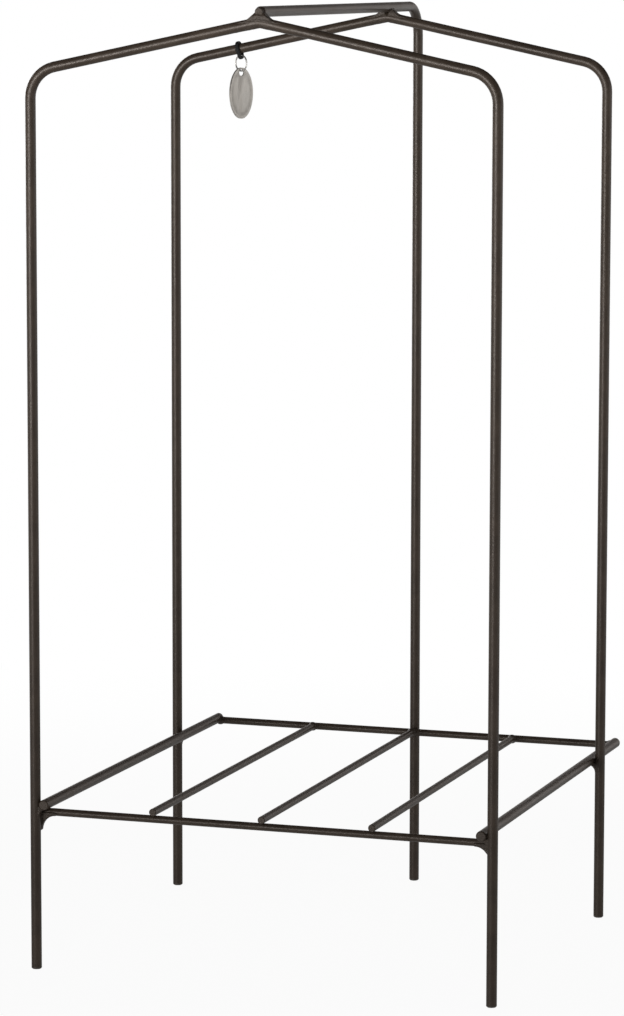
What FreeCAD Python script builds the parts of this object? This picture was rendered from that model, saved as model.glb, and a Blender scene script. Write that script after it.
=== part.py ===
import FreeCAD, Part
import math
import os
import Sketcher

# A magazine holder bent and welded from round steel rod, with a small tag hanging from its rear hoop.
# Frame: X to the right, Y from front to back, Z up. The origin is on the floor, under the middle.

doc = FreeCAD.newDocument("magazine_holder")
sheet = doc.addObject("Spreadsheet::Sheet", "Sizes")

# Driving dimensions in millimetres, and one angle in degrees
SIZES = [
    ("rod_diameter", 5.5, "hoops, ridge and rails"),
    ("leg_spacing", 250.0, "left leg to right leg, between axes"),
    ("hoop_spacing", 212.0, "front hoop to rear hoop, between axes"),
    ("back_leg_reach", 56.0, "rear hoop to back leg, between axes"),
    ("corner_height", 471.0, "floor to where the axes of leg and roof cross"),
    ("roof_rise", 26.2, "corner to peak, between crossing axes"),
    ("bend_radius", 16.5, "axis radius of the corner bends"),
    ("peak_radius", 12.0, "axis radius of the bend at the peak"),
    ("rod_chamfer", 0.5, "broken edge of a cut rod"),
    ("ridge_chamfer", 1.0, "dressed edge of the ridge's front end"),
    ("rail_height", 88.5, "floor to the axis of a rail"),
    ("wire_diameter", 4.0, "cross rods and slats"),
    ("wire_chamfer", 0.3, "broken edge of a cut cross rod or slat"),
    ("slat_pitch", 60.0, "slat to slat, between axes"),
    ("slat_overhang", 3.0, "slat in front of the front cross rod's axis"),
    ("root_gap", 0.5, "gap that a butt weld fills"),
    ("weld_width", 4.0, "width of a fillet weld across its leg"),
    ("weld_sink", 0.3, "how far a weld's toes run into the rods"),
    ("rail_weld_radius", 4.2, "hollow of the weld under a rail"),
    ("cross_weld_radius", 8.0, "hollow of the weld under the front cross rod"),
    ("back_weld_radius", 2.6, "hollow of the weld under the back cross rod"),
    ("butt_weld_leg", 0.6, "how far a butt weld stands proud of its rod"),
    ("butt_weld_lap", 2.2, "how far a butt weld runs along its rod"),
    ("peak_weld_width", 5.0, "width of a peak weld across its hoop"),
    ("peak_weld_reach", 12.0, "peak to the weld's toe on a roof run"),
    ("peak_weld_rise", 2.6, "peak to the weld's toe on the ridge"),
    ("peak_weld_radius", 12.2, "hollow of the peak weld"),
    ("peak_weld_start", 1.2, "middle of the ridge to the rear weld"),
    ("peak_weld_bevel", 1.9, "slope from the front weld's face back to the ridge's end"),
    ("band_place", 38.0, "left legs to the band, between axes"),
    ("band_cord", 1.4, "thickness of the band"),
    ("band_width", 2.2, "band along the rod"),
    ("band_fold", 2.2, "axis radius where the band holds the ring"),
    ("band_clearance", 0.1, "band to rod"),
    ("ring_diameter", 9.7, "jump ring, outside"),
    ("ring_wire", 0.9, "wire of the jump ring"),
    ("ring_clearance", 0.45, "ring to band, rod and tag"),
    ("ring_split", 0.3, "gap where the ring was closed"),
    ("tag_length", 28.4, "oval tag, long way"),
    ("tag_breadth", 17.2, "oval tag, short way"),
    ("tag_thickness", 1.2, "oval tag"),
    ("tag_hole", 3.6, "hole for the ring"),
    ("tag_strip", 1.0, "hole to the tag's top edge"),
    ("tag_rim", 1.3, "width of the raised rim"),
    ("tag_relief", 0.25, "depth of the field inside the rim"),
    ("ring_turn", 27.0, "ring's axis turned from front to back towards the right"),
]
for row, (alias, size, words) in enumerate(SIZES, start=1):
    sheet.set("A%d" % row, words)
    sheet.set("B%d" % row, str(size))
    sheet.setAlias("B%d" % row, alias)
doc.recompute()

# Sizes that follow from the driving ones
ROD = "Sizes.rod_diameter"
ROD_RADIUS = "(Sizes.rod_diameter / 2)"
WIRE = "Sizes.wire_diameter"
WIRE_RADIUS = "(Sizes.wire_diameter / 2)"
LEG_X = "(Sizes.leg_spacing / 2)"
HALF_DEPTH = "((Sizes.hoop_spacing + Sizes.back_leg_reach) / 2)"
FRONT_Y = "(-%s)" % HALF_DEPTH
REAR_Y = "(%s - Sizes.back_leg_reach)" % HALF_DEPTH
ROOF_SLOPE = "atan(Sizes.roof_rise / %s)" % LEG_X
PEAK_AXIS = "(Sizes.corner_height + Sizes.roof_rise - Sizes.peak_radius * (1 / cos(%s) - 1))" % ROOF_SLOPE
PEAK_TOP = "(%s + %s)" % (PEAK_AXIS, ROD_RADIUS)
RIDGE_Z = "(%s + %s)" % (PEAK_TOP, ROD_RADIUS)
RAIL_X = "(%s - %s)" % (LEG_X, ROD)
CROSS_DROP = "(%s + %s)" % (ROD_RADIUS, WIRE_RADIUS)
CROSS_Z = "(Sizes.rail_height - %s)" % CROSS_DROP
SLAT_Z = "(%s + %s)" % (CROSS_Z, WIRE)
FRONT_CROSS_Y = "(%s + %s)" % (FRONT_Y, CROSS_DROP)
BACK_CROSS_Y = "(%s - %s)" % (HALF_DEPTH, CROSS_DROP)
SLAT_START_Y = "(%s - Sizes.slat_overhang)" % FRONT_CROSS_Y
SLAT_END_Y = "(%s - %s - Sizes.root_gap)" % (BACK_CROSS_Y, WIRE_RADIUS)
RAIL_START_Y = "(%s - %s)" % (FRONT_Y, ROD_RADIUS)
RAIL_END_Y = "(%s + %s + Sizes.butt_weld_leg + 2 * Sizes.rod_chamfer)" % (BACK_CROSS_Y, WIRE_RADIUS)
BACK_CROSS_END_X = "(%s - %s - Sizes.root_gap)" % (RAIL_X, ROD_RADIUS)
BAND_X = "(Sizes.band_place - %s)" % LEG_X
BAND_Z = "(Sizes.corner_height + Sizes.band_place * tan(%s))" % ROOF_SLOPE
BAND_RADIUS = "(%s + Sizes.band_clearance + Sizes.band_cord / 2)" % ROD_RADIUS
BAND_EYE = "(Sizes.ring_wire + 2 * Sizes.ring_clearance)"
RING_RADIUS = "((Sizes.ring_diameter - Sizes.ring_wire) / 2)"
EYE_REACH = "(%s + %s + Sizes.band_cord / 2)" % (ROD_RADIUS, BAND_EYE)
FOLD_DROP = "(%s - Sizes.band_fold)" % EYE_REACH
FOLD_ANGLE = "asin((%s - Sizes.band_fold) / %s)" % (BAND_RADIUS, FOLD_DROP)
EYE_X = "(%s + %s * sin(%s))" % (BAND_X, EYE_REACH, ROOF_SLOPE)
EYE_Z = "(%s - %s * cos(%s))" % (BAND_Z, EYE_REACH, ROOF_SLOPE)
RING_RISE = "(Sizes.band_cord / 2 + Sizes.ring_clearance + Sizes.ring_wire / 2)"
RING_Z = "(%s + %s - %s)" % (EYE_Z, RING_RISE, RING_RADIUS)
TAG_Z = "(%s - %s)" % (RING_Z, RING_RADIUS)
HOLE_TOP = "(Sizes.ring_wire / 2 + Sizes.ring_clearance)"
HOLE_MIDDLE = "(%s - Sizes.tag_hole / 2)" % HOLE_TOP
TAG_MIDDLE = "(%s + Sizes.tag_strip - Sizes.tag_length / 2)" % HOLE_TOP

# How deep a butt weld's collar reaches into the wall that it meets, in radii of that wall
BUTT_WELD_DEPTH_SHARE = 0.6

# A foot's edge lies on the floor; this tells floor edges from the rest
FLOOR_TOLERANCE = 1e-6
QUARTER_TURN = 90.0
HALF_TURN = 180.0
X_AXIS = FreeCAD.Vector(1, 0, 0)
Y_AXIS = FreeCAD.Vector(0, 1, 0)
Z_AXIS = FreeCAD.Vector(0, 0, 1)
subparts = {}


def number(formula):
    result = sheet.evalExpression(formula)
    return float(getattr(result, "Value", result))


def point(x, y):
    return FreeCAD.Vector(x, y, 0)


def new_body(name):
    body = doc.addObject("PartDesign::Body", name)
    body.Label = name
    return body


def new_sketch(body, role, offset=None):
    sketch = body.newObject("Sketcher::SketchObject", body.Name + "_sketch")
    plane = next(feature for feature in body.Origin.OriginFeatures if feature.Role == role)
    sketch.AttachmentSupport = [(plane, "")]
    sketch.MapMode = "FlatFace"
    if offset:
        sketch.setExpression("AttachmentOffset.Base.z", offset)
    return sketch


def dimension(sketch, kind, places, formula):
    index = sketch.addConstraint(Sketcher.Constraint(kind, *places, number(formula)))
    sketch.setExpression("Constraints[%d]" % index, formula)


def tie(sketch, kind, *places):
    sketch.addConstraint(Sketcher.Constraint(kind, *places))


def place(thing, x="0", y="0", z="0"):
    for axis, formula in zip("xyz", (x, y, z)):
        thing.setExpression("Placement.Base." + axis, formula)


def turn(thing, rotation):
    thing.Placement = FreeCAD.Placement(thing.Placement.Base, rotation)


def circle_sketch(body, role, radius, x="0", y="0"):
    sketch = new_sketch(body, role)
    middle = point(number(x), number(y))
    sketch.addGeometry(Part.Circle(middle, Z_AXIS, number(radius)))
    dimension(sketch, "Radius", (0,), radius)
    dimension(sketch, "DistanceX", (-1, 1, 0, 3), x)
    dimension(sketch, "DistanceY", (-1, 1, 0, 3), y)
    return sketch


def arc(middle, radius, start, end):
    return Part.ArcOfCircle(Part.Circle(middle, Z_AXIS, radius), math.radians(start), math.radians(end))


def line(start, end):
    return Part.LineSegment(start, end)


def chain(sketch, joints):
    for joint in joints:
        tie(sketch, "Tangent", *joint)


def sweep(body, profile, spine):
    pipe = body.newObject("PartDesign::AdditivePipe", body.Name + "_pipe")
    pipe.Profile = profile
    pipe.Spine = spine
    doc.recompute()
    return pipe


def chamfer_edges(body, feature, wanted, size):
    names = []
    for index, edge in enumerate(feature.Shape.Edges, start=1):
        if wanted(edge):
            names.append("Edge%d" % index)
    chamfer = body.newObject("PartDesign::Chamfer", body.Name + "_chamfer")
    chamfer.Base = (feature, names)
    chamfer.setExpression("Size", size)
    doc.recompute()
    return chamfer


def keep(name, thing):
    thing.Label = name
    subparts[name] = thing


def on_floor(edge):
    return edge.BoundBox.ZMax < FLOOR_TOLERANCE


def is_round(edge):
    return isinstance(edge.Curve, Part.Circle)


def hoop(name, y):
    # Leg, bend, roof run, peak bend, roof run, bend, leg: one rod
    body = new_body(name)
    slope = number(ROOF_SLOPE)
    bend = number("Sizes.bend_radius")
    peak = number("Sizes.peak_radius")
    leg = number(LEG_X)
    corner = number("Sizes.corner_height")
    run = bend * math.tan(math.radians((QUARTER_TURN - slope) / 2))
    bend_z = corner - run
    rise = math.sin(math.radians(slope))
    flat = math.cos(math.radians(slope))
    peak_middle = number(PEAK_AXIS) - peak
    corner_left = point(-leg + run * flat, corner + run * rise)
    corner_right = point(leg - run * flat, corner + run * rise)
    peak_left = point(-peak * rise, peak_middle + peak * flat)
    peak_right = point(peak * rise, peak_middle + peak * flat)
    spine = new_sketch(body, "XZ_Plane")
    spine.addGeometry([
        line(point(-leg, 0), point(-leg, bend_z)),
        arc(point(-leg + bend, bend_z), bend, QUARTER_TURN + slope, HALF_TURN),
        line(corner_left, peak_left),
        arc(point(0, peak_middle), peak, QUARTER_TURN - slope, QUARTER_TURN + slope),
        line(peak_right, corner_right),
        arc(point(leg - bend, bend_z), bend, 0, QUARTER_TURN - slope),
        line(point(leg, bend_z), point(leg, 0)),
    ])
    corner_point = spine.addGeometry(Part.Point(point(-leg, corner)), True)
    peak_point = spine.addGeometry(Part.Point(point(0, corner + number("Sizes.roof_rise"))), True)
    chain(spine, [(0, 2, 1, 2), (1, 1, 2, 1), (2, 2, 3, 2), (3, 1, 4, 1), (4, 2, 5, 2), (5, 1, 6, 1)])
    tie(spine, "Vertical", 0)
    tie(spine, "Vertical", 6)
    tie(spine, "PointOnObject", 0, 1, -1)
    tie(spine, "PointOnObject", 6, 2, -1)
    dimension(spine, "DistanceX", (0, 1, -1, 1), LEG_X)
    dimension(spine, "DistanceX", (-1, 1, 6, 2), LEG_X)
    dimension(spine, "Radius", (1,), "Sizes.bend_radius")
    tie(spine, "Equal", 1, 5)
    dimension(spine, "Radius", (3,), "Sizes.peak_radius")
    tie(spine, "PointOnObject", corner_point, 1, 0)
    tie(spine, "PointOnObject", corner_point, 1, 2)
    dimension(spine, "DistanceY", (-1, 1, corner_point, 1), "Sizes.corner_height")
    tie(spine, "PointOnObject", peak_point, 1, 2)
    tie(spine, "PointOnObject", peak_point, 1, -2)
    dimension(spine, "DistanceY", (-1, 1, peak_point, 1), "Sizes.corner_height + Sizes.roof_rise")
    tie(spine, "PointOnObject", 3, 3, -2)
    tie(spine, "Horizontal", 1, 3, 5, 3)
    profile = circle_sketch(body, "XY_Plane", ROD_RADIUS, x="-" + LEG_X)
    pipe = sweep(body, profile, spine)
    chamfer_edges(body, pipe, on_floor, "Sizes.rod_chamfer")
    place(body, y=y)
    keep(name, body)
    return body


def ridge_and_back_leg():
    # Up from the floor behind, round a bend and forward over both peaks
    name = "ridge_and_back_leg"
    body = new_body(name)
    depth = number(HALF_DEPTH)
    top = number(RIDGE_Z)
    bend = number("Sizes.bend_radius")
    spine = new_sketch(body, "YZ_Plane")
    spine.addGeometry([
        line(point(depth, 0), point(depth, top - bend)),
        arc(point(depth - bend, top - bend), bend, 0, QUARTER_TURN),
        line(point(depth - bend, top), point(-depth, top)),
    ])
    chain(spine, [(0, 2, 1, 1), (1, 2, 2, 1)])
    tie(spine, "Vertical", 0)
    tie(spine, "Horizontal", 2)
    tie(spine, "PointOnObject", 0, 1, -1)
    dimension(spine, "DistanceX", (-1, 1, 0, 1), HALF_DEPTH)
    dimension(spine, "Radius", (1,), "Sizes.bend_radius")
    dimension(spine, "DistanceY", (-1, 1, 2, 2), RIDGE_Z)
    dimension(spine, "DistanceX", (2, 2, -1, 1), HALF_DEPTH)
    profile = circle_sketch(body, "XY_Plane", ROD_RADIUS, y=HALF_DEPTH)
    pipe = sweep(body, profile, spine)

    def at_front(edge):
        return edge.BoundBox.YMax < FLOOR_TOLERANCE - depth

    foot = chamfer_edges(body, pipe, on_floor, "Sizes.rod_chamfer")
    chamfer_edges(body, foot, at_front, "Sizes.ridge_chamfer")
    keep(name, body)
    return body


def straight_rod(name, role, radius, length, chamfer, reverse, **where):
    # Both ends are cut square, with their edges broken
    body = new_body(name)
    pad = body.newObject("PartDesign::Pad", name + "_pad")
    pad.Profile = circle_sketch(body, role, radius)
    pad.setExpression("Length", length)
    pad.Reversed = reverse
    doc.recompute()
    chamfer_edges(body, pad, is_round, chamfer)
    place(body, **where)
    keep(name, body)
    return body


def rod_to_back(name, radius, length, chamfer, **where):
    return straight_rod(name, "XZ_Plane", radius, length, chamfer, True, **where)


def rod_to_right(name, radius, half_length, chamfer, **where):
    return straight_rod(name, "YZ_Plane", radius, "2 * " + half_length, chamfer, False,
                        x="-" + half_length, **where)


def trim(name, blank, rods):
    # Weld metal stops at the faces of the rods that it joins
    for index, rod in enumerate(rods):
        result = doc.addObject("Part::Cut", "%s_cut_%d" % (name, index))
        result.Base = blank
        result.Tool = rod
        doc.recompute()
        blank = result
    return blank


def corner_weld(name, bottom, top, radius, start, width, angle, where, rods):
    # A hollow fillet under a bar, in the corner that it makes with a leg. Local X points from the leg's
    # axis along the corner, local Y across it; bottom and top are heights against the bar's own level.
    body = new_body(name + "_blank")
    reach = "(%s + %s - Sizes.weld_sink)" % (ROD_RADIUS, radius)
    low = "(%s + %s - Sizes.weld_sink)" % (bottom, radius)
    x = number(reach)
    z = number(low)
    hollow = number(radius)
    over = number(top)
    sketch = new_sketch(body, "XZ_Plane", offset="-(%s)" % start)
    sketch.addGeometry([
        line(point(0, -over), point(x, -over)),
        line(point(x, -over), point(x, hollow - z)),
        arc(point(x, -z), hollow, QUARTER_TURN, HALF_TURN),
        line(point(x - hollow, -z), point(0, -z)),
        line(point(0, -z), point(0, -over)),
    ])
    for joint in [(0, 2, 1, 1), (1, 2, 2, 1), (2, 2, 3, 1), (3, 2, 4, 1), (4, 2, 0, 1)]:
        tie(sketch, "Coincident", *joint)
    tie(sketch, "Horizontal", 0)
    tie(sketch, "Vertical", 1)
    tie(sketch, "Horizontal", 3)
    tie(sketch, "PointOnObject", 4, 1, -2)
    tie(sketch, "PointOnObject", 4, 2, -2)
    tie(sketch, "Vertical", 2, 1, 2, 3)
    dimension(sketch, "DistanceY", (0, 1, -1, 1), top)
    dimension(sketch, "DistanceX", (-1, 1, 2, 3), reach)
    dimension(sketch, "DistanceY", (2, 3, -1, 1), low)
    tie(sketch, "Horizontal", 2, 2, 2, 3)
    dimension(sketch, "Radius", (2,), radius)
    pad = body.newObject("PartDesign::Pad", body.Name + "_pad")
    pad.Profile = sketch
    pad.setExpression("Length", width)
    pad.Reversed = True
    turn(body, FreeCAD.Rotation(Z_AXIS, angle))
    place(body, **where)
    doc.recompute()
    keep(name, trim(name, body, rods))


def butt_weld(name, wall_radius, rotation, where, rods):
    # A collar round a rod's end, tapering along the rod. Local X points away from the wall, along the rod.
    body = new_body(name + "_blank")
    outer = "(%s + Sizes.butt_weld_leg)" % WIRE_RADIUS
    toe = "(%s - Sizes.weld_sink)" % WIRE_RADIUS
    depth = "(%s * %s)" % (BUTT_WELD_DEPTH_SHARE, wall_radius)
    wall = number(depth)
    lap = number("Sizes.butt_weld_lap")
    sketch = new_sketch(body, "XZ_Plane")
    sketch.addGeometry([
        line(point(-wall, 0), point(-wall, number(outer))),
        line(point(-wall, number(outer)), point(0, number(outer))),
        line(point(0, number(outer)), point(lap, number(toe))),
        line(point(lap, number(toe)), point(lap, 0)),
        line(point(lap, 0), point(-wall, 0)),
    ])
    for joint in [(0, 2, 1, 1), (1, 2, 2, 1), (2, 2, 3, 1), (3, 2, 4, 1), (4, 2, 0, 1)]:
        tie(sketch, "Coincident", *joint)
    tie(sketch, "Vertical", 0)
    tie(sketch, "Horizontal", 1)
    tie(sketch, "Vertical", 3)
    tie(sketch, "PointOnObject", 0, 1, -1)
    tie(sketch, "PointOnObject", 3, 2, -1)
    tie(sketch, "PointOnObject", 1, 2, -2)
    dimension(sketch, "DistanceX", (0, 1, -1, 1), depth)
    dimension(sketch, "DistanceY", (-1, 1, 1, 2), outer)
    dimension(sketch, "DistanceX", (-1, 1, 3, 2), "Sizes.butt_weld_lap")
    dimension(sketch, "DistanceY", (-1, 1, 3, 1), toe)
    ring = body.newObject("PartDesign::Revolution", body.Name + "_turned")
    ring.Profile = sketch
    ring.ReferenceAxis = (sketch, ["H_Axis"])
    turn(body, rotation)
    place(body, **where)
    doc.recompute()
    return trim(name, body, rods)


def group(name, pieces):
    together = doc.addObject("Part::Compound", name)
    together.Links = pieces
    doc.recompute()
    keep(name, together)


def peak_weld(name, y, start, rods):
    # A hollow fillet on each side of the ridge, where it lies on a hoop's peak. Where the ridge ends, the two
    # are one: start is then None, both begin in the middle, and their face slopes back to the ridge's end.
    body = new_body(name + "_blank")
    body.AllowCompound = True
    begin = number(start) if start else 0
    rise = number("Sizes.peak_weld_rise")
    reach = number("Sizes.peak_weld_reach")
    hollow = number("Sizes.peak_weld_radius")
    ridge_toe = "(%s - Sizes.weld_sink)" % ROD_RADIUS
    roof_toe = "(Sizes.peak_weld_reach * tan(%s) + Sizes.weld_sink)" % ROOF_SLOPE
    inner = point(number(ridge_toe), rise)
    outer = point(reach, -number(roof_toe))
    chord = outer.sub(inner)
    across = FreeCAD.Vector(-chord.y, chord.x, 0).normalize()
    half = chord.Length / 2
    middle = (inner + outer) / 2
    centre = middle + across * math.sqrt(hollow ** 2 - half ** 2)
    angles = [math.degrees(math.atan2(end.y - centre.y, end.x - centre.x)) for end in (inner, outer)]
    sketch = new_sketch(body, "XZ_Plane", offset="Sizes.peak_weld_width / 2")
    low = -number(ROD_RADIUS)
    sketch.addGeometry([
        line(point(begin, rise), inner),
        arc(centre, hollow, angles[0], angles[1]),
        line(outer, point(begin, low)),
        line(point(begin, low), point(begin, rise)),
    ])
    for joint in [(0, 2, 1, 1), (1, 2, 2, 1), (2, 2, 3, 1), (3, 2, 0, 1)]:
        tie(sketch, "Coincident", *joint)
    tie(sketch, "Horizontal", 0)
    tie(sketch, "Vertical", 3)
    if start:
        dimension(sketch, "DistanceX", (-1, 1, 0, 1), start)
    else:
        tie(sketch, "PointOnObject", 0, 1, -2)
    dimension(sketch, "DistanceY", (-1, 1, 0, 1), "Sizes.peak_weld_rise")
    dimension(sketch, "DistanceX", (-1, 1, 0, 2), ridge_toe)
    dimension(sketch, "DistanceX", (-1, 1, 2, 1), "Sizes.peak_weld_reach")
    dimension(sketch, "DistanceY", (2, 1, -1, 1), roof_toe)
    dimension(sketch, "DistanceY", (3, 1, -1, 1), ROD_RADIUS)
    dimension(sketch, "Radius", (1,), "Sizes.peak_weld_radius")
    pad = body.newObject("PartDesign::Pad", body.Name + "_pad")
    pad.Profile = sketch
    pad.setExpression("Length", "Sizes.peak_weld_width")
    pad.Reversed = True
    doc.recompute()
    mirrored = body.newObject("PartDesign::Mirrored", body.Name + "_mirrored")
    mirrored.Originals = [pad]
    mirrored.MirrorPlane = (sketch, ["V_Axis"])
    body.Tip = mirrored
    doc.recompute()

    def front_top(edge):
        low = edge.BoundBox.ZMin > rise - FLOOR_TOLERANCE
        return low and edge.BoundBox.YMax < FLOOR_TOLERANCE - number("Sizes.peak_weld_width / 2")

    if not start:
        chamfer_edges(body, mirrored, front_top, "Sizes.peak_weld_bevel")
    place(body, y=y, z=PEAK_TOP)
    doc.recompute()
    keep(name, trim(name, body, rods))


def tag_band():
    # An elastic strap, snug on the rod, drawn together below it round the ring
    name = "tag_band"
    body = new_body(name)
    radius = number(BAND_RADIUS)
    fold = number("Sizes.band_fold")
    drop = number(FOLD_DROP)
    angle = number(FOLD_ANGLE)
    across = math.cos(math.radians(angle))
    down = -math.sin(math.radians(angle))
    spine = new_sketch(body, "YZ_Plane")
    spine.addGeometry([
        arc(point(0, 0), radius, 0, HALF_TURN + angle),
        line(point(-radius * across, radius * down), point(-fold * across, fold * down - drop)),
        arc(point(0, -drop), fold, HALF_TURN + angle, 2 * HALF_TURN - angle),
        line(point(fold * across, fold * down - drop), point(radius * across, radius * down)),
        arc(point(0, 0), radius, -angle, 0),
    ])
    chain(spine, [(0, 2, 1, 1), (1, 2, 2, 1), (2, 2, 3, 1), (3, 2, 4, 1)])
    tie(spine, "Coincident", 4, 2, 0, 1)
    tie(spine, "Coincident", 0, 3, -1, 1)
    tie(spine, "Coincident", 4, 3, -1, 1)
    tie(spine, "PointOnObject", 0, 1, -1)
    tie(spine, "PointOnObject", 2, 3, -2)
    dimension(spine, "DistanceY", (2, 3, -1, 1), FOLD_DROP)
    dimension(spine, "Radius", (0,), BAND_RADIUS)
    dimension(spine, "Radius", (2,), "Sizes.band_fold")
    profile = new_sketch(body, "XY_Plane")
    half = number("Sizes.band_cord / 2")
    side = number("(Sizes.band_width - Sizes.band_cord) / 2")
    profile.addGeometry([
        arc(point(side, radius), half, -QUARTER_TURN, QUARTER_TURN),
        line(point(side, radius + half), point(-side, radius + half)),
        arc(point(-side, radius), half, QUARTER_TURN, QUARTER_TURN + HALF_TURN),
        line(point(-side, radius - half), point(side, radius - half)),
    ])
    chain(profile, [(0, 2, 1, 1), (1, 2, 2, 1), (2, 2, 3, 1), (3, 2, 0, 1)])
    tie(profile, "Horizontal", 1)
    tie(profile, "Symmetric", 0, 3, 2, 3, -2)
    dimension(profile, "Radius", (0,), "Sizes.band_cord / 2")
    dimension(profile, "DistanceX", (2, 3, 0, 3), "Sizes.band_width - Sizes.band_cord")
    dimension(profile, "DistanceY", (-1, 1, 0, 3), BAND_RADIUS)
    sweep(body, profile, spine)
    turn(body, FreeCAD.Rotation(Y_AXIS, -number(ROOF_SLOPE)))
    place(body, x=BAND_X, y=REAR_Y, z=BAND_Z)
    keep(name, body)


def jump_ring():
    # Round wire, cut through at the side where it was closed
    name = "jump_ring"
    ring = doc.addObject("Part::Torus", name)
    ring.setExpression("Radius1", RING_RADIUS)
    ring.setExpression("Radius2", "Sizes.ring_wire / 2")
    ring.setExpression("Angle3", "360 deg - 2 * asin(Sizes.ring_split / 2 / %s)" % RING_RADIUS)
    upright = FreeCAD.Rotation(X_AXIS, -QUARTER_TURN)
    turn(ring, FreeCAD.Rotation(Z_AXIS, -number("Sizes.ring_turn")).multiply(upright))
    place(ring, x=EYE_X, y=REAR_Y, z=RING_Z)
    keep(name, ring)


def oval(sketch, length, breadth, index=0):
    middle = number(TAG_MIDDLE)
    top = point(0, middle + number(length) / 2)
    side = point(number(breadth) / 2, middle)
    sketch.addGeometry(Part.Ellipse(top, side, point(0, middle)))
    sketch.exposeInternalGeometry(index)
    tie(sketch, "PointOnObject", index, 3, -2)
    tie(sketch, "Vertical", index + 1)
    dimension(sketch, "DistanceY", (index, 3, -1, 1), "-" + TAG_MIDDLE)
    dimension(sketch, "Distance", (index + 1,), length)
    dimension(sketch, "Distance", (index + 2,), breadth)


def hang_tag():
    # A thin oval with a raised rim on both faces. Local Z 0 is the middle of the wire that it hangs on.
    name = "hang_tag"
    body = new_body(name)
    sketch = new_sketch(body, "XZ_Plane", offset="-Sizes.tag_thickness / 2")
    oval(sketch, "Sizes.tag_length", "Sizes.tag_breadth")
    eye = point(0, number(HOLE_MIDDLE))
    hole = sketch.addGeometry(Part.Circle(eye, Z_AXIS, number("Sizes.tag_hole / 2")))
    tie(sketch, "PointOnObject", hole, 3, -2)
    dimension(sketch, "DistanceY", (hole, 3, -1, 1), "-" + HOLE_MIDDLE)
    dimension(sketch, "Radius", (hole,), "Sizes.tag_hole / 2")
    pad = body.newObject("PartDesign::Pad", name + "_pad")
    pad.Profile = sketch
    pad.setExpression("Length", "Sizes.tag_thickness")
    doc.recompute()
    for side, sign, back in (("front", "", False), ("back", "-", True)):
        field = new_sketch(body, "XZ_Plane", offset=sign + "Sizes.tag_thickness / 2")
        oval(field, "Sizes.tag_length - 2 * Sizes.tag_rim", "Sizes.tag_breadth - 2 * Sizes.tag_rim")
        pocket = body.newObject("PartDesign::Pocket", "%s_%s_field" % (name, side))
        pocket.Profile = field
        pocket.setExpression("Length", "Sizes.tag_relief")
        pocket.Reversed = back
        doc.recompute()
    turn(body, FreeCAD.Rotation(Z_AXIS, -QUARTER_TURN - number("Sizes.ring_turn")))
    place(body, x=EYE_X, y=REAR_Y, z=TAG_Z)
    keep(name, body)


# Frame
front_hoop = hoop("front_hoop", FRONT_Y)
rear_hoop = hoop("rear_hoop", REAR_Y)
back_leg = ridge_and_back_leg()

# Shelf
rails = {}
for side, sign in (("left", "-"), ("right", "")):
    rails[side] = rod_to_back(side + "_rail", ROD_RADIUS, "%s - %s" % (RAIL_END_Y, RAIL_START_Y),
                              "Sizes.rod_chamfer", x=sign + RAIL_X, y=RAIL_START_Y, z="Sizes.rail_height")
front_cross = rod_to_right("front_cross_rod", WIRE_RADIUS, LEG_X, "Sizes.wire_chamfer",
                           y=FRONT_CROSS_Y, z=CROSS_Z)
back_cross = rod_to_right("back_cross_rod", WIRE_RADIUS, BACK_CROSS_END_X, "Sizes.wire_chamfer",
                          y=BACK_CROSS_Y, z=SLAT_Z)
SLAT_PLACES = {"left": "-Sizes.slat_pitch", "centre": "0", "right": "Sizes.slat_pitch"}
slats = {}
for side, x in SLAT_PLACES.items():
    slats[side] = rod_to_back(side + "_slat", WIRE_RADIUS, "%s - %s" % (SLAT_END_Y, SLAT_START_Y),
                              "Sizes.wire_chamfer", x=x, y=SLAT_START_Y, z=SLAT_Z)

# Welds
peak_weld("front_peak_weld", FRONT_Y, None, [front_hoop, back_leg])
peak_weld("rear_peak_weld", REAR_Y, "Sizes.peak_weld_start", [rear_hoop, back_leg])
weld_half = "(Sizes.weld_width / 2)"
for side, sign, angle in (("left", "-", 0), ("right", "", HALF_TURN)):
    for end, y, leg in (("front", FRONT_Y, front_hoop), ("rear", REAR_Y, rear_hoop)):
        corner_weld("%s_%s_rail_weld" % (end, side), ROD_RADIUS, "(%s / 2)" % ROD_RADIUS,
                    "Sizes.rail_weld_radius", "(-%s)" % weld_half, "Sizes.weld_width", angle,
                    {"x": sign + LEG_X, "y": y, "z": "Sizes.rail_height"}, [leg, rails[side]])
for side, sign, angle, start in (("left", "-", 0, weld_half), ("right", "", HALF_TURN, "(-%s)" % CROSS_DROP)):
    corner_weld(side + "_cross_weld", WIRE_RADIUS, "0", "Sizes.cross_weld_radius", start,
                "%s - %s" % (CROSS_DROP, weld_half), angle,
                {"x": sign + LEG_X, "y": FRONT_Y, "z": CROSS_Z}, [front_hoop, front_cross])
corner_weld("back_leg_weld", WIRE_RADIUS, "(%s / 2)" % WIRE_RADIUS, "Sizes.back_weld_radius",
            "(-%s)" % weld_half, "Sizes.weld_width", -QUARTER_TURN,
            {"y": HALF_DEPTH, "z": SLAT_Z}, [back_leg, back_cross])
rail_side = "(%s - %s)" % (RAIL_X, ROD_RADIUS)
group("back_rod_welds", [
    butt_weld(side + "_back_rod_weld", ROD_RADIUS, FreeCAD.Rotation(Z_AXIS, angle),
              {"x": sign + rail_side, "y": BACK_CROSS_Y, "z": SLAT_Z}, [rails[side], back_cross])
    for side, sign, angle in (("left", "-", 0), ("right", "", HALF_TURN))])
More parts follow.
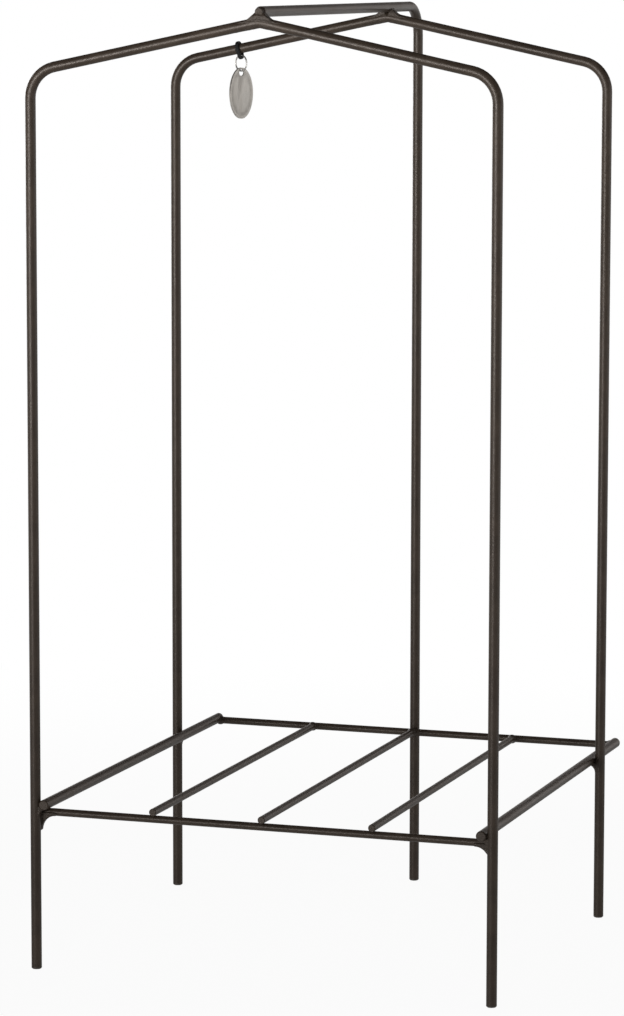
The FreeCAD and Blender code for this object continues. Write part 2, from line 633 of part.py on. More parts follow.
group("slat_welds", [
    butt_weld(side + "_slat_weld", WIRE_RADIUS, FreeCAD.Rotation(Z_AXIS, -QUARTER_TURN),
              {"x": x, "y": "(%s - %s)" % (BACK_CROSS_Y, WIRE_RADIUS), "z": SLAT_Z},
              [back_cross, slats[side]])
    for side, x in SLAT_PLACES.items()])

# Hanging tag
tag_band()
jump_ring()
hang_tag()

doc.recompute()
for thing in doc.Objects:
    if "Invalid" in thing.State or "Error" in thing.State:
        raise RuntimeError("%s failed: %s" % (thing.Label, thing.State))
for name, thing in subparts.items():
    if thing.Shape.isNull() or not thing.Shape.isValid():
        raise RuntimeError("%s has no valid shape" % name)

os.makedirs("parts", exist_ok=True)
for name, thing in subparts.items():
    thing.Shape.exportStep("parts/%s.step" % name)
    box = thing.Shape.BoundBox
    print("%-24s %d solids %10.1f mm3" % (name, len(thing.Shape.Solids), thing.Shape.Volume),
          [round(v, 2) for v in (box.XMin, box.YMin, box.ZMin, box.XMax, box.YMax, box.ZMax)])
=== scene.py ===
import math
import bpy
from mathutils import Matrix, Vector


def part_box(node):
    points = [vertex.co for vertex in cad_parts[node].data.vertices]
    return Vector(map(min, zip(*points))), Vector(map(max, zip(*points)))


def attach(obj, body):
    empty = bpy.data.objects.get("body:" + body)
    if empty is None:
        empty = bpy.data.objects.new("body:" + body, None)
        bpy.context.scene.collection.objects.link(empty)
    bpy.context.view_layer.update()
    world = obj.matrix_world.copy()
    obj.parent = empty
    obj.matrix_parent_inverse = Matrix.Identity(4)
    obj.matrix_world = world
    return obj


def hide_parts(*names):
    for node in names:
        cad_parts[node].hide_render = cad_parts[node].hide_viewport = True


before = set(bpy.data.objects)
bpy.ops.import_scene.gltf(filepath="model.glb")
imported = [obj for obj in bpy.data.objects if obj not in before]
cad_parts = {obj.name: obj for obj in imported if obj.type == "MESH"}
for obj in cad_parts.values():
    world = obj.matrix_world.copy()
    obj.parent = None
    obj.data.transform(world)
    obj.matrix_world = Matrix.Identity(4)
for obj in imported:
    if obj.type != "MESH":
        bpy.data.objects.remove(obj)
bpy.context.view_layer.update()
MM = 0.001


def middle(node):
    # Middle of a node's box, in millimetres
    low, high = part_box(node)
    return (low + high) / 2 / MM


# Sizes and places of the rods, in millimetres
ROD_RADIUS = 2.75
WIRE_RADIUS = 2.0
CORNER_Z = 471.0
ROOF_RISE = 26.2
PEAK_BEND = 12.0
LEG_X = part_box("front_hoop")[1].x / MM - ROD_RADIUS
FRONT_Y = middle("front_hoop").y
REAR_Y = middle("rear_hoop").y
RAIL = middle("right_rail")
CROSS_ROD = middle("front_cross_rod")
BACK_ROD = middle("back_cross_rod")
BACK_LEG_Y = BACK_ROD.y + WIRE_RADIUS + ROD_RADIUS
ROOF_SLOPE = math.atan2(ROOF_RISE, LEG_X)
ROOF_FALL = math.tan(ROOF_SLOPE)
ROOF_RUN = Vector((math.cos(ROOF_SLOPE), 0, math.sin(ROOF_SLOPE)))
ROOF_UP = Vector((-math.sin(ROOF_SLOPE), 0, math.cos(ROOF_SLOPE)))
PEAK_Z = CORNER_Z + ROOF_RISE
RIDGE_Z = PEAK_Z - PEAK_BEND * (1 / math.cos(ROOF_SLOPE) - 1) + 2 * ROD_RADIUS

# Sizes and places of the hanging tag, its ring and its band, in millimetres
BAND_PLACE = 38.0
BAND_CORD = 1.4
BAND_WIDTH = 2.2
BAND_FOLD = 2.2
BAND_ROOM = 0.1
BAND_RADIUS = ROD_RADIUS + BAND_ROOM + BAND_CORD / 2
BAND_POINT = Vector((BAND_PLACE - LEG_X, REAR_Y, CORNER_Z + BAND_PLACE * ROOF_FALL))
RING_WIRE = 0.9
RING_DIAMETER = 9.7
RING_RADIUS = (RING_DIAMETER - RING_WIRE) / 2
RING_ROOM = 0.45
RING_TURN = math.radians(27.0)
EYE_REACH = ROD_RADIUS + RING_WIRE + 2 * RING_ROOM + BAND_CORD / 2
EYE_POINT = BAND_POINT - ROOF_UP * EYE_REACH
FOLD_DROP = EYE_REACH - BAND_FOLD
RING_MIDDLE = EYE_POINT + Vector((0, 0, BAND_CORD / 2 + RING_ROOM + RING_WIRE / 2 - RING_RADIUS))
TAG_HANGER = RING_MIDDLE - Vector((0, 0, RING_RADIUS))
TAG_LENGTH = 28.4
TAG_BREADTH = 17.2
TAG_THICKNESS = 1.2
TAG_RIM = 1.3
TAG_RELIEF = 0.25
TAG_EDGE = 0.18
TAG_HOLE = 3.6
TAG_STRIP = 1.0
HOLE_TOP = RING_WIRE / 2 + RING_ROOM
TAG_MIDDLE = TAG_HANGER + Vector((0, 0, HOLE_TOP + TAG_STRIP - TAG_LENGTH / 2))
HOLE_MIDDLE = TAG_HANGER + Vector((0, 0, HOLE_TOP - TAG_HOLE / 2))
TAG_TURN = -math.pi / 2 - RING_TURN

# Finish of the weld beads, in millimetres
BEAD_VOXEL = 0.22
BEAD_LUMP = 0.18
BEAD_LUMP_LENGTH = 1.6
STUB_SINK = 0.03

# Steps round a turned shape
RIM_STEPS = 96
HOLE_STEPS = 48
STUB_STEPS = 40
RING_WIRE_STEPS = 16
BAND_CORD_STEPS = 20

# Colour of the shine on the lacquer
LACQUER_TINT = (1.0, 0.91, 0.84, 1)


# Shader nodes

def new_group(name, inputs, outputs):
    group = bpy.data.node_groups.new(name, "ShaderNodeTree")
    for label, kind, value in inputs:
        socket = group.interface.new_socket(label, in_out="INPUT", socket_type="NodeSocket" + kind)
        socket.default_value = value
    for label, kind in outputs:
        group.interface.new_socket(label, in_out="OUTPUT", socket_type="NodeSocket" + kind)
    return group, group.nodes.new("NodeGroupInput"), group.nodes.new("NodeGroupOutput")


def add(tree, kind, **settings):
    node = tree.nodes.new("ShaderNode" + kind)
    for label, value in settings.items():
        setattr(node, label, value)
    return node


def feed(tree, socket, value):
    # Links a socket to another node's output, or sets it to a plain value
    if isinstance(value, bpy.types.NodeSocket):
        tree.links.new(value, socket)
    else:
        socket.default_value = value


def object_place(tree):
    return add(tree, "TexCoord").outputs["Object"]


def noise(tree, place, scale, detail=3.0, roughness=0.55):
    node = add(tree, "TexNoise")
    for label, value in (("Vector", place), ("Scale", scale), ("Detail", detail), ("Roughness", roughness)):
        feed(tree, node.inputs[label], value)
    return node.outputs["Fac"]


def math_node(tree, operation, first, second):
    node = add(tree, "Math", operation=operation)
    feed(tree, node.inputs[0], first)
    feed(tree, node.inputs[1], second)
    return node.outputs[0]


def vector_math(tree, operation, first, second=None):
    node = add(tree, "VectorMath", operation=operation)
    feed(tree, node.inputs[0], first)
    if second is not None:
        feed(tree, node.inputs[1], second)
    return node.outputs["Value" if operation == "LENGTH" else "Vector"]


def weigh(tree, first, first_share, second, second_share):
    return math_node(tree, "ADD", math_node(tree, "MULTIPLY", first, first_share),
                     math_node(tree, "MULTIPLY", second, second_share))


def spread(tree, value, between, to=(0.0, 1.0), smooth=True):
    # Spreads the values between two limits over another range, with soft or straight ends
    node = add(tree, "MapRange", clamp=True, interpolation_type="SMOOTHSTEP" if smooth else "LINEAR")
    labels = ("Value", "From Min", "From Max", "To Min", "To Max")
    for label, number in zip(labels, (value, *between, *to)):
        feed(tree, node.inputs[label], number)
    return node.outputs["Result"]


def mix_colour(tree, share, first, second):
    node = add(tree, "Mix", data_type="RGBA")
    sockets = [s for s in node.inputs if s.enabled]
    for socket, value in zip(sockets, (share, first, second)):
        feed(tree, socket, value)
    return next(s for s in node.outputs if s.enabled)


# Shared effects

def coat_group():
    # Lacquer on drawn steel: broad mottling, fine speckle and the grain that shows through
    group, entry, out = new_group(
        "lacquer coat",
        [("Dark", "Color", (0.02, 0.02, 0.02, 1)), ("Light", "Color", (0.05, 0.05, 0.05, 1)),
         ("Mottle", "Float", 60.0), ("Speckle", "Float", 1400.0),
         ("Smooth", "Float", 0.36), ("Rough", "Float", 0.5)],
        [("Color", "Color"), ("Roughness", "Float"), ("Height", "Float")])
    place = object_place(group)
    broad = noise(group, place, entry.outputs["Mottle"], detail=4.0, roughness=0.6)
    fine = noise(group, place, entry.outputs["Speckle"], detail=2.0, roughness=0.5)
    patches = spread(group, broad, between=(0.32, 0.7))
    dots = spread(group, fine, between=(0.35, 0.7))
    tone = weigh(group, patches, 0.68, dots, 0.32)
    colour = mix_colour(group, tone, entry.outputs["Dark"], entry.outputs["Light"])
    roughness = spread(group, weigh(group, broad, 0.5, fine, 0.5), between=(0.3, 0.7),
                       to=(entry.outputs["Smooth"], entry.outputs["Rough"]), smooth=False)
    height = weigh(group, fine, 1.0, broad, 1.5)
    for label, value in (("Color", colour), ("Roughness", roughness), ("Height", height)):
        group.links.new(value, out.inputs[label])
    return group


def wear_group():
    # Lacquer rubbed off where the rods stand on the floor
    group, entry, out = new_group("foot wear", [("Reach", "Float", 2.4 * MM)], [("Mask", "Float")])
    place = object_place(group)
    split = add(group, "SeparateXYZ")
    group.links.new(place, split.inputs[0])
    grain = noise(group, place, scale=900.0, detail=4.0, roughness=0.65)
    ragged = math_node(group, "MULTIPLY", grain, entry.outputs["Reach"])
    height = math_node(group, "SUBTRACT", split.outputs["Z"], ragged)
    mask = spread(group, height, between=(-1.2 * MM, 0.4 * MM), to=(1.0, 0.0))
    group.links.new(mask, out.inputs["Mask"])
    return group


# Materials

def new_material(slot):
    material = bpy.data.materials.get(slot) or bpy.data.materials.new(slot)
    material.use_nodes = True
    material.node_tree.nodes.clear()
    tree = material.node_tree
    shader = add(tree, "BsdfPrincipled")
    tree.links.new(shader.outputs[0], add(tree, "OutputMaterial").inputs["Surface"])
    return material, tree, shader


def use_group(tree, group, **values):
    node = add(tree, "Group", node_tree=group)
    for label, value in values.items():
        node.inputs[label].default_value = value
    return node


def bump(tree, shader, height, distance):
    node = add(tree, "Bump")
    node.inputs["Strength"].default_value = 1.0
    node.inputs["Distance"].default_value = distance
    tree.links.new(height, node.inputs["Height"])
    tree.links.new(node.outputs["Normal"], shader.inputs["Normal"])


def lacquered_rod(coat, wear):
    material, tree, shader = new_material("painted_rod")
    film = use_group(tree, coat, Dark=(0.037, 0.0258, 0.0182, 1), Light=(0.073, 0.0532, 0.0388, 1),
                     Smooth=0.34, Rough=0.48)
    worn = use_group(tree, wear).outputs["Mask"]
    bare_steel = (0.12, 0.11, 0.1, 1)
    tree.links.new(mix_colour(tree, worn, film.outputs["Color"], bare_steel), shader.inputs["Base Color"])
    tree.links.new(film.outputs["Roughness"], shader.inputs["Roughness"])
    tree.links.new(math_node(tree, "MULTIPLY", worn, 0.6), shader.inputs["Metallic"])
    shader.inputs["Specular Tint"].default_value = LACQUER_TINT
    bump(tree, shader, film.outputs["Height"], distance=0.06 * MM)
    return material


def lacquered_weld(coat):
    material, tree, shader = new_material("painted_weld")
    film = use_group(tree, coat, Dark=(0.032, 0.0228, 0.0165, 1), Light=(0.067, 0.05, 0.0375, 1),
                     Mottle=330.0, Speckle=1900.0, Smooth=0.34, Rough=0.58)
    tree.links.new(film.outputs["Color"], shader.inputs["Base Color"])
    tree.links.new(film.outputs["Roughness"], shader.inputs["Roughness"])
    shader.inputs["Specular Tint"].default_value = LACQUER_TINT
    bump(tree, shader, film.outputs["Height"], distance=0.22 * MM)
    return material


def black_elastic():
    # Fine knitted cells with a little fluff, and painted shade: the sunk edges of the cells are coloured
    # darker than their raised middles
    material, tree, shader = new_material("black_band")
    place = object_place(tree)
    cells = add(tree, "TexVoronoi")
    tree.links.new(place, cells.inputs["Vector"])
    cells.inputs["Scale"].default_value = 2600.0
    depth = cells.outputs["Distance"]
    fluff = noise(tree, place, scale=1500.0, detail=4.0)
    # Painted shade in the knit: the sunk colour darkens the low edges of the cells
    raised, painted_sunk_shade = (0.016, 0.015, 0.015, 1), (0.006, 0.006, 0.006, 1)
    colour = mix_colour(tree, spread(tree, depth, between=(0.1, 0.7)), raised, painted_sunk_shade)
    roughness = spread(tree, fluff, between=(0.3, 0.7), to=(0.62, 0.9))
    tree.links.new(colour, shader.inputs["Base Color"])
    tree.links.new(roughness, shader.inputs["Roughness"])
    height = math_node(tree, "SUBTRACT", math_node(tree, "MULTIPLY", fluff, 0.4), depth)
    bump(tree, shader, height, distance=0.12 * MM)
    return material


def bright_wire():
    material, tree, shader = new_material("ring_wire")
    scuff = noise(tree, object_place(tree), scale=1800.0, detail=4.0, roughness=0.65)
    dull, bright = (0.5, 0.485, 0.46, 1), (0.7, 0.685, 0.66, 1)
    colour = mix_colour(tree, spread(tree, scuff, between=(0.3, 0.7)), dull, bright)
    roughness = spread(tree, scuff, between=(0.3, 0.7), to=(0.3, 0.46))
    tree.links.new(colour, shader.inputs["Base Color"])
    tree.links.new(roughness, shader.inputs["Roughness"])
    shader.inputs["Metallic"].default_value = 0.85
    bump(tree, shader, scuff, distance=0.03 * MM)
    return material


def brushed_pewter():
    # Brushed along the long way, darker in a patchy band just inside the rim
    material, tree, shader = new_material("tag_metal")
    mapping = add(tree, "Mapping", vector_type="TEXTURE")
    tree.links.new(object_place(tree), mapping.inputs["Vector"])
    mapping.inputs["Location"].default_value = TAG_MIDDLE * MM
    mapping.inputs["Rotation"].default_value = (0, 0, TAG_TURN)
    place = mapping.outputs["Vector"]
    grain_stretch = (1.0, 1.0, 0.035)
    brushed = vector_math(tree, "MULTIPLY", place, grain_stretch)
    broad = noise(tree, brushed, scale=520.0, roughness=0.6)
    fine = noise(tree, brushed, scale=2600.0, roughness=0.6)
    streaks = weigh(tree, broad, 0.6, fine, 0.4)
    oval = vector_math(tree, "DIVIDE", place, (TAG_BREADTH / 2 * MM, 1.0, TAG_LENGTH / 2 * MM))
    reach = vector_math(tree, "LENGTH", oval)
    cloud = noise(tree, place, scale=260.0, detail=4.0, roughness=0.6)
    outwards = spread(tree, reach, between=(0.62, 0.84))
    inwards = spread(tree, reach, between=(0.86, 0.93), to=(1.0, 0.0))
    patchy = spread(tree, cloud, between=(0.3, 0.65), to=(0.35, 1.0))
    # A patchy band just inside the rim, mixed towards a darker colour
    inner_rim_band = math_node(tree, "MULTIPLY", math_node(tree, "MULTIPLY", outwards, inwards), patchy)
    dull, bright, inner_rim_dark = (0.42, 0.39, 0.352, 1), (0.59, 0.562, 0.522, 1), (0.27, 0.25, 0.225, 1)
    clean = mix_colour(tree, spread(tree, streaks, between=(0.34, 0.66)), dull, bright)
    colour = mix_colour(tree, math_node(tree, "MULTIPLY", inner_rim_band, 0.6), clean, inner_rim_dark)
    roughness = spread(tree, streaks, between=(0.3, 0.7), to=(0.3, 0.48))
    tree.links.new(colour, shader.inputs["Base Color"])
    tree.links.new(roughness, shader.inputs["Roughness"])
    shader.inputs["Metallic"].default_value = 0.7
    shader.inputs["Anisotropic"].default_value = 0.4
    bump(tree, shader, streaks, distance=0.06 * MM)
    return material


coat = coat_group()
finishes = {
    "painted_rod": lacquered_rod(coat, wear_group()),
    "painted_weld": lacquered_weld(coat),
    "black_band": black_elastic(),
    "ring_wire": bright_wire(),
    "tag_metal": brushed_pewter(),
}
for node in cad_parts.values():
    for index, material in enumerate(node.data.materials):
        node.data.materials[index] = finishes[material.name.split(".")[0]]


# Selecting and editing

def deselect():
    bpy.ops.object.select_all(action="DESELECT")


def select_only(piece):
    deselect()
    piece.select_set(True)
    bpy.context.view_layer.objects.active = piece


def name_piece(name):
    piece = bpy.context.active_object
    piece.name = name
    piece.data.name = name
    return piece


def open_edit(piece, kind):
    # Edit mode with nothing selected, left again so that code can select
    select_only(piece)
    bpy.ops.object.mode_set(mode="EDIT")
    bpy.ops.mesh.select_mode(type=kind)
    bpy.ops.mesh.select_all(action="DESELECT")
    bpy.ops.object.mode_set(mode="OBJECT")


def edit_faces(piece, wanted):
    open_edit(piece, "FACE")
    for face in piece.data.polygons:
        face.select = wanted(face)
    bpy.ops.object.mode_set(mode="EDIT")


def edit_points(piece, wanted):
    open_edit(piece, "VERT")
    for vertex in piece.data.vertices:
        vertex.select = wanted(vertex.co)
    bpy.ops.object.mode_set(mode="EDIT")


def leave_edit():
    bpy.ops.object.mode_set(mode="OBJECT")


def apply_modifier(piece, kind, **settings):
    select_only(piece)
    modifier = piece.modifiers.new(kind.lower(), kind)
    for label, value in settings.items():
        setattr(modifier, label, value)
    bpy.ops.object.modifier_apply(modifier=modifier.name)


def fix_place(piece, matrix):
    piece.matrix_world = matrix
    select_only(piece)
    bpy.ops.object.transform_apply(location=True, rotation=True, scale=True)


def finish_piece(piece, body, slot, *nodes, angle=math.radians(40)):
    piece.data.materials.clear()
    piece.data.materials.append(finishes[slot])
    select_only(piece)
    bpy.ops.object.shade_smooth_by_angle(angle=angle)
    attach(piece, body)
    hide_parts(*nodes)
    return piece


# The tag, its ring and its band

def hang_tag():
    # An oval plate with a raised rim on both faces and a hole at its top
    deselect()
    bpy.ops.mesh.primitive_cylinder_add(vertices=RIM_STEPS, radius=1.0, depth=TAG_THICKNESS * MM)
    piece = name_piece("oval_tag")
    bpy.ops.object.mode_set(mode="EDIT")
    bpy.ops.mesh.select_all(action="SELECT")
    bpy.ops.transform.resize(value=(TAG_BREADTH / 2 * MM, TAG_LENGTH / 2 * MM, 1))
    leave_edit()
    upright_share = 0.9
    for side in (1, -1):
        edit_faces(piece, lambda face: face.normal.z * side > upright_share)
        bpy.ops.mesh.inset(thickness=TAG_RIM * MM)
        bpy.ops.transform.translate(value=(0, 0, -side * TAG_RELIEF * MM))
        leave_edit()
    deselect()
    drop = (HOLE_MIDDLE - TAG_MIDDLE).z
    bpy.ops.mesh.primitive_cylinder_add(vertices=HOLE_STEPS, radius=TAG_HOLE / 2 * MM,
                                        depth=4 * TAG_THICKNESS * MM, location=(0, drop * MM, 0))
    drill = bpy.context.active_object
    apply_modifier(piece, "BOOLEAN", operation="DIFFERENCE", object=drill, solver="EXACT")
    bpy.data.objects.remove(drill)
    apply_modifier(piece, "BEVEL", width=TAG_EDGE * MM, segments=3, limit_method="ANGLE",
                   angle_limit=math.radians(30))
    turn = Matrix.Rotation(TAG_TURN, 4, "Z") @ Matrix.Rotation(math.pi / 2, 4, "X")
    fix_place(piece, Matrix.Translation(TAG_MIDDLE * MM) @ turn)
    return finish_piece(piece, "tag", "tag_metal", "hang_tag")


def jump_ring():
    # A wire ring with one step cut out and both ends closed
    deselect()
    bpy.ops.mesh.primitive_torus_add(major_radius=RING_RADIUS * MM, minor_radius=RING_WIRE / 2 * MM,
                                     major_segments=RIM_STEPS, minor_segments=RING_WIRE_STEPS)
    piece = name_piece("split_ring")
    step = 2 * math.pi / RIM_STEPS
    edit_faces(piece, lambda face: 0 < math.atan2(face.center.y, face.center.x) < step)
    bpy.ops.mesh.delete(type="ONLY_FACE")
    leave_edit()
    edit_points(piece, lambda co: False)
    bpy.ops.mesh.select_mode(type="EDGE")
    bpy.ops.mesh.select_non_manifold(extend=False, use_wire=False, use_multi_face=False,
                                     use_non_contiguous=False, use_verts=False)
    bpy.ops.mesh.edge_face_add()
    leave_edit()
    turn = Matrix.Rotation(-RING_TURN, 4, "Z") @ Matrix.Rotation(-math.pi / 2, 4, "X")
    fix_place(piece, Matrix.Translation(RING_MIDDLE * MM) @ turn)
    return finish_piece(piece, "ring", "ring_wire", "jump_ring", angle=math.radians(60))


def tag_band():
    # A ring of oval section, its lower half narrowed to the fold and let down
    deselect()
    bpy.ops.mesh.primitive_torus_add(major_radius=BAND_RADIUS * MM, minor_radius=BAND_CORD / 2 * MM,
                                     major_segments=RIM_STEPS, minor_segments=BAND_CORD_STEPS)
    piece = name_piece("elastic_band")
    just_above, past_corner = 1e-6, 0.01
    for side in (1, -1):
        edit_points(piece, lambda co: co.z * side > just_above)
        bpy.ops.transform.translate(value=(0, 0, side * (BAND_WIDTH - BAND_CORD) / 2 * MM))
        leave_edit()
    lean = math.asin((BAND_RADIUS - BAND_FOLD) / FOLD_DROP)
    edit_points(piece, lambda co: math.atan2(co.y, abs(co.x)) < -lean - past_corner)
    share = (BAND_FOLD + BAND_CORD / 2) / (BAND_RADIUS + BAND_CORD / 2)
    bpy.ops.transform.resize(value=(share, share, 1), center_override=(0, 0, 0))
    bpy.ops.transform.translate(value=(0, -FOLD_DROP * MM, 0))
    leave_edit()
    across = ROOF_UP.cross(ROOF_RUN)
    turn = Matrix((across, ROOF_UP, ROOF_RUN)).transposed().to_4x4()
    fix_place(piece, Matrix.Translation(BAND_POINT * MM) @ turn)
    return finish_piece(piece, "band", "black_band", "tag_band")


# Weld beads. A stub is a start, an end and a radius, in millimetres.

def stub_mesh(start, end, radius):
    # A short length of rod that the weld metal clings to, just under the rod's own skin
    start, end = Vector(start), Vector(end)
    run = end - start
    deselect()
    bpy.ops.mesh.primitive_cylinder_add(vertices=STUB_STEPS, radius=(radius - STUB_SINK) * MM,
                                        depth=run.length * MM)
    piece = bpy.context.active_object
    turn = run.to_track_quat("Z", "Y").to_matrix().to_4x4()
    fix_place(piece, Matrix.Translation((start + end) / 2 * MM) @ turn)
    return piece


def weld_bead(node, stubs, lumps):
    # Weld metal run into the corner: the solid's fillet, blended into the rods and slightly uneven
    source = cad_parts[node]
    piece = bpy.data.objects.new(node.replace("weld", "bead"), source.data.copy())
    bpy.context.scene.collection.objects.link(piece)
    edit_points(piece, lambda co: True)
    bpy.ops.mesh.remove_doubles(threshold=1e-6)
    bpy.ops.mesh.normals_make_consistent(inside=False)
    leave_edit()
    lengths = [stub_mesh(*stub) for stub in stubs]
    select_only(piece)
    for length in lengths:
        length.select_set(True)
    bpy.ops.object.join()
    apply_modifier(piece, "REMESH", mode="VOXEL", voxel_size=BEAD_VOXEL * MM)
    apply_modifier(piece, "SMOOTH", factor=0.5, iterations=10)
    apply_modifier(piece, "DISPLACE", strength=BEAD_LUMP * MM, mid_level=0.62, texture=lumps,
                   texture_coords="LOCAL")
    apply_modifier(piece, "SMOOTH", factor=0.5, iterations=3)
    apply_modifier(piece, "DECIMATE", ratio=0.45)
    return finish_piece(piece, "frame", "painted_weld", node)


def upright(x, y, level, below, above):
    # A length of leg, from below to above a level
    return (x, y, level - below), (x, y, level + above), ROD_RADIUS


def peak_stubs(y, ridge_start):
    # Both roof runs, a skin of weld metal on them that thins out, and the ridge that lies on the peak
    run, dip = 17.0, 0.3
    skin_run, skin_lift = 9.0, 0.1
    ridge_run = 6.0
    top = (0, y, PEAK_Z - dip)
    skin_top = (0, y, PEAK_Z + skin_lift)
    stubs = [(top, (side * run, y, PEAK_Z - run * ROOF_FALL), ROD_RADIUS) for side in (-1, 1)]
    stubs += [(skin_top, (side * skin_run, y, PEAK_Z - skin_run * ROOF_FALL), ROD_RADIUS) for side in (-1, 1)]
    return stubs + [((0, y + ridge_start, RIDGE_Z), (0, y + ridge_run, RIDGE_Z), ROD_RADIUS)]


def peak_face_stubs(y):
    # Weld metal on the ridge's cut end, down its neck and throat, and out in a web on both roof runs
    nub_reach, nub_radius = 2.0, 2.15
    neck_y, neck_rise, neck_radius = y - 0.35, 0.9, 1.78
    throat_y, throat_drop, throat_foot, throat_radius = y - 0.75, 1.6, 0.5, 1.9
    web_y, web_lift, web_run, web_radius = y - 0.95, 0.9, 6.5, 1.78
    web_z = PEAK_Z + web_lift
    nub = ((0, y - nub_reach, RIDGE_Z), (0, y + nub_reach, RIDGE_Z), nub_radius)
    neck = ((0, neck_y, RIDGE_Z + neck_rise), (0, neck_y, PEAK_Z), neck_radius)
    throat = ((0, throat_y, RIDGE_Z - throat_drop), (0, throat_y, PEAK_Z - throat_foot), throat_radius)
    web = [((0, web_y, web_z), (side * web_run, web_y, web_z - web_run * ROOF_FALL), web_radius)
           for side in (-1, 1)]
    return [nub, neck, throat] + web


def rail_stubs(side, y):
    each_way, end_room = 5.0, 0.6
    start = max(y - each_way, FRONT_Y - ROD_RADIUS + end_room)
    along = ((side * RAIL.x, start, RAIL.z), (side * RAIL.x, y + each_way, RAIL.z), ROD_RADIUS)
    return [upright(side * LEG_X, y, RAIL.z, below=11.5, above=3.5), along]


def cross_stubs(side):
    inset, run = 0.5, 16.0
    along = [(side * (LEG_X - reach), CROSS_ROD.y, CROSS_ROD.z) for reach in (inset, run)]
    return [upright(side * LEG_X, FRONT_Y, CROSS_ROD.z, below=14.75, above=4.25), (*along, WIRE_RADIUS)]


def back_rod_stub(x, reach_left, reach_right):
    return ((x - reach_left, BACK_ROD.y, BACK_ROD.z), (x + reach_right, BACK_ROD.y, BACK_ROD.z), WIRE_RADIUS)


def back_leg_stubs():
    each_way = 5.0
    return [upright(0, BACK_LEG_Y, BACK_ROD.z, below=8.75, above=4.25), back_rod_stub(0, each_way, each_way)]


def back_corner_stubs(side):
    ahead, behind, run = 5.0, 3.0, 9.0
    x = side * RAIL.x
    rail = ((x, BACK_ROD.y - ahead, RAIL.z), (x, BACK_ROD.y + behind, RAIL.z), ROD_RADIUS)
    inwards = (0, run) if side < 0 else (run, 0)
    return [rail, back_rod_stub(x, *inwards)]


def slat_stubs(x):
    each_way, run = 5.0, 8.0
    slat = ((x, BACK_ROD.y, BACK_ROD.z), (x, BACK_ROD.y - run, BACK_ROD.z), WIRE_RADIUS)
    return [back_rod_stub(x, each_way, each_way), slat]


def all_welds():
    lumps = bpy.data.textures.new("weld lumps", "CLOUDS")
    lumps.noise_scale = BEAD_LUMP_LENGTH * MM
    weld_bead("front_peak_weld", peak_stubs(FRONT_Y, ridge_start=1.0) + peak_face_stubs(FRONT_Y), lumps)
    weld_bead("rear_peak_weld", peak_stubs(REAR_Y, ridge_start=-5.0), lumps)
    for name, side in (("left", -1), ("right", 1)):
        weld_bead("front_%s_rail_weld" % name, rail_stubs(side, FRONT_Y), lumps)
        weld_bead("rear_%s_rail_weld" % name, rail_stubs(side, REAR_Y), lumps)
        weld_bead(name + "_cross_weld", cross_stubs(side), lumps)
    weld_bead("back_leg_weld", back_leg_stubs(), lumps)
    weld_bead("back_rod_welds", back_corner_stubs(-1) + back_corner_stubs(1), lumps)
    slats = [middle(name + "_slat").x for name in ("left", "centre", "right")]
    weld_bead("slat_welds", [stub for x in slats for stub in slat_stubs(x)], lumps)


hang_tag()
jump_ring()
tag_band()
all_welds()


# Stage, in metres

def pale_floor():
    # White to the camera, with a trace of the object's shadow. Gloss sees less of it close by.
    floor_radius, floor_drop = 12.0, 0.3 * MM
    deselect()
    bpy.ops.mesh.primitive_circle_add(vertices=RIM_STEPS, radius=floor_radius, fill_type="NGON",
                                      location=(0, 0, -floor_drop))
    floor = name_piece("studio_floor")
    material, tree, shader = new_material("studio_floor")
    shader.inputs["Base Color"].default_value = (0.7, 0.7, 0.7, 1)
    shader.inputs["Roughness"].default_value = 0.9
    white = add(tree, "Emission")
    white.inputs["Strength"].default_value = 1.0
    path = add(tree, "LightPath")
    away = vector_math(tree, "LENGTH", object_place(tree))
    far = spread(tree, away, between=(0.4, 3.0), to=(0.25, 1.0))
    unshaded = spread(tree, away, between=(0.25, 0.9), to=(0.95, 1.0))
    shine = math_node(tree, "MULTIPLY", path.outputs["Is Glossy Ray"], far)
    clear = math_node(tree, "MAXIMUM", path.outputs["Is Camera Ray"], path.outputs["Is Transmission Ray"])
    share = math_node(tree, "MULTIPLY", math_node(tree, "MAXIMUM", clear, shine), unshaded)
    mixed = add(tree, "MixShader")
    for socket, source in zip(mixed.inputs, (share, shader.outputs[0], white.outputs[0])):
        tree.links.new(source, socket)
    output = next(n for n in tree.nodes if n.type == "OUTPUT_MATERIAL")
    tree.links.new(mixed.outputs[0], output.inputs["Surface"])
    floor.data.materials.append(material)


def soft_lamp(name, place, target, width, height, power, spread_angle=180):
    light = bpy.data.lights.new(name, "AREA")
    light.shape = "RECTANGLE"
    light.size = width
    light.size_y = height
    light.energy = power
    light.spread = math.radians(spread_angle)
    lamp = bpy.data.objects.new(name, light)
    bpy.context.scene.collection.objects.link(lamp)
    lamp.location = place
    lamp.rotation_euler = (Vector(target) - Vector(place)).to_track_quat("-Z", "Y").to_euler()


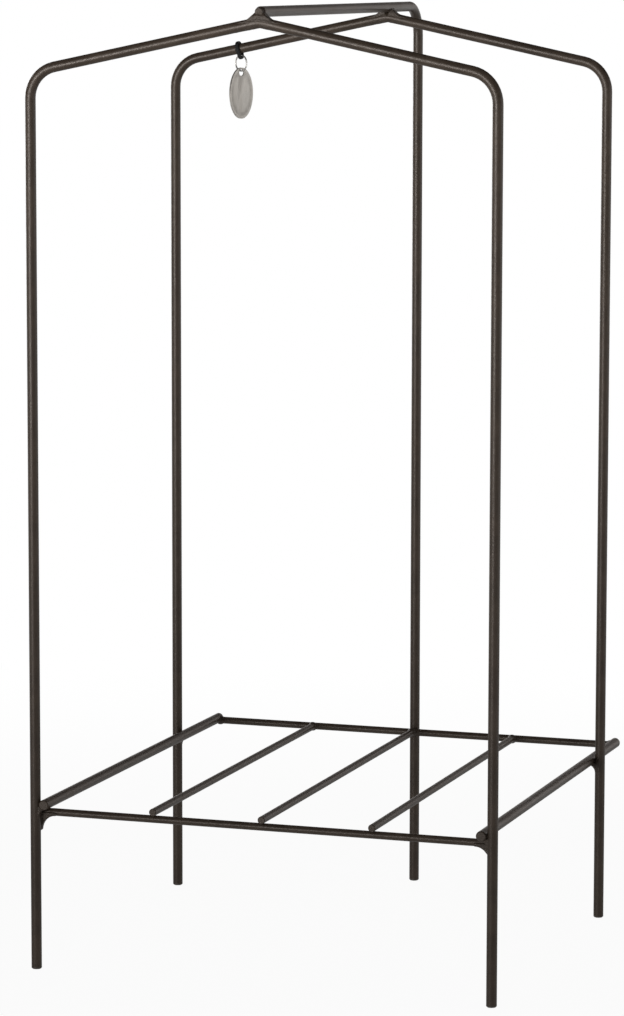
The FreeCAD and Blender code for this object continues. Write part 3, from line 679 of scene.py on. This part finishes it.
def studio_world(level, dim):
    # White to the camera. Gloss shows a white sheet behind, and dim surroundings above and beside it.
    world = bpy.data.worlds.new("white studio")
    bpy.context.scene.world = world
    world.use_nodes = True
    tree = world.node_tree
    tree.nodes.clear()
    path = add(tree, "LightPath")
    shine = math_node(tree, "MAXIMUM", path.outputs["Is Glossy Ray"], path.outputs["Is Transmission Ray"])
    split = add(tree, "SeparateXYZ")
    tree.links.new(add(tree, "TexCoord").outputs["Generated"], split.inputs[0])
    behind = spread(tree, split.outputs["Y"], between=(0.55, 0.85))
    below = spread(tree, split.outputs["Z"], between=(0.18, 0.36), to=(1.0, 0.0))
    sheet = math_node(tree, "MULTIPLY", behind, below)
    around = spread(tree, sheet, between=(0.0, 1.0), to=(dim, 1.0), smooth=False)
    shown = math_node(tree, "MULTIPLY", shine, around)
    plain = math_node(tree, "MULTIPLY", math_node(tree, "SUBTRACT", 1.0, shine), level)
    strength = math_node(tree, "MAXIMUM", path.outputs["Is Camera Ray"], math_node(tree, "ADD", shown, plain))
    white, warm = (1, 1, 1, 1), (1.0, 0.945, 0.915, 1)
    background = add(tree, "Background")
    tree.links.new(mix_colour(tree, shine, white, warm), background.inputs["Color"])
    tree.links.new(strength, background.inputs["Strength"])
    tree.links.new(background.outputs[0], add(tree, "OutputWorld").inputs["Surface"])


def camera():
    # The viewing angle: to the right of the front, a little above, with a long lens
    place = (0.7009, -2.1182, 0.5295)
    yaw, pitch, roll = -0.3269, 0.1317, 0.0015
    ahead = Vector((math.sin(yaw) * math.cos(pitch), math.cos(yaw) * math.cos(pitch), -math.sin(pitch)))
    level = Vector((math.cos(yaw), -math.sin(yaw), 0))
    above = level.cross(ahead)
    right = level * math.cos(roll) + above * math.sin(roll)
    up = above * math.cos(roll) - level * math.sin(roll)
    data = bpy.data.cameras.new("view")
    data.lens = 147.25
    data.sensor_width = 36.0
    data.clip_end = 50.0
    eye = bpy.data.objects.new("view", data)
    bpy.context.scene.collection.objects.link(eye)
    eye.matrix_world = Matrix.Translation(place) @ Matrix((right, up, -ahead)).transposed().to_4x4()
    bpy.context.scene.camera = eye


pale_floor()
studio_world(level=0.24, dim=0.04)
soft_lamp("front box", (-0.72, -1.95, 0.42), target=(0, 0, 0.95), width=0.95, height=0.72, power=4.3,
          spread_angle=60)
soft_lamp("right sheet", (2.1, 0.5, 0.6), target=(0, 0, 0.3), width=1.4, height=1.4, power=6.0)
soft_lamp("back box", (-1.6, 1.6, 0.6), target=(0, 0, 0.3), width=1.0, height=0.8, power=9.0)
camera()
bpy.context.scene.view_settings.view_transform = "Standard"
deselect()
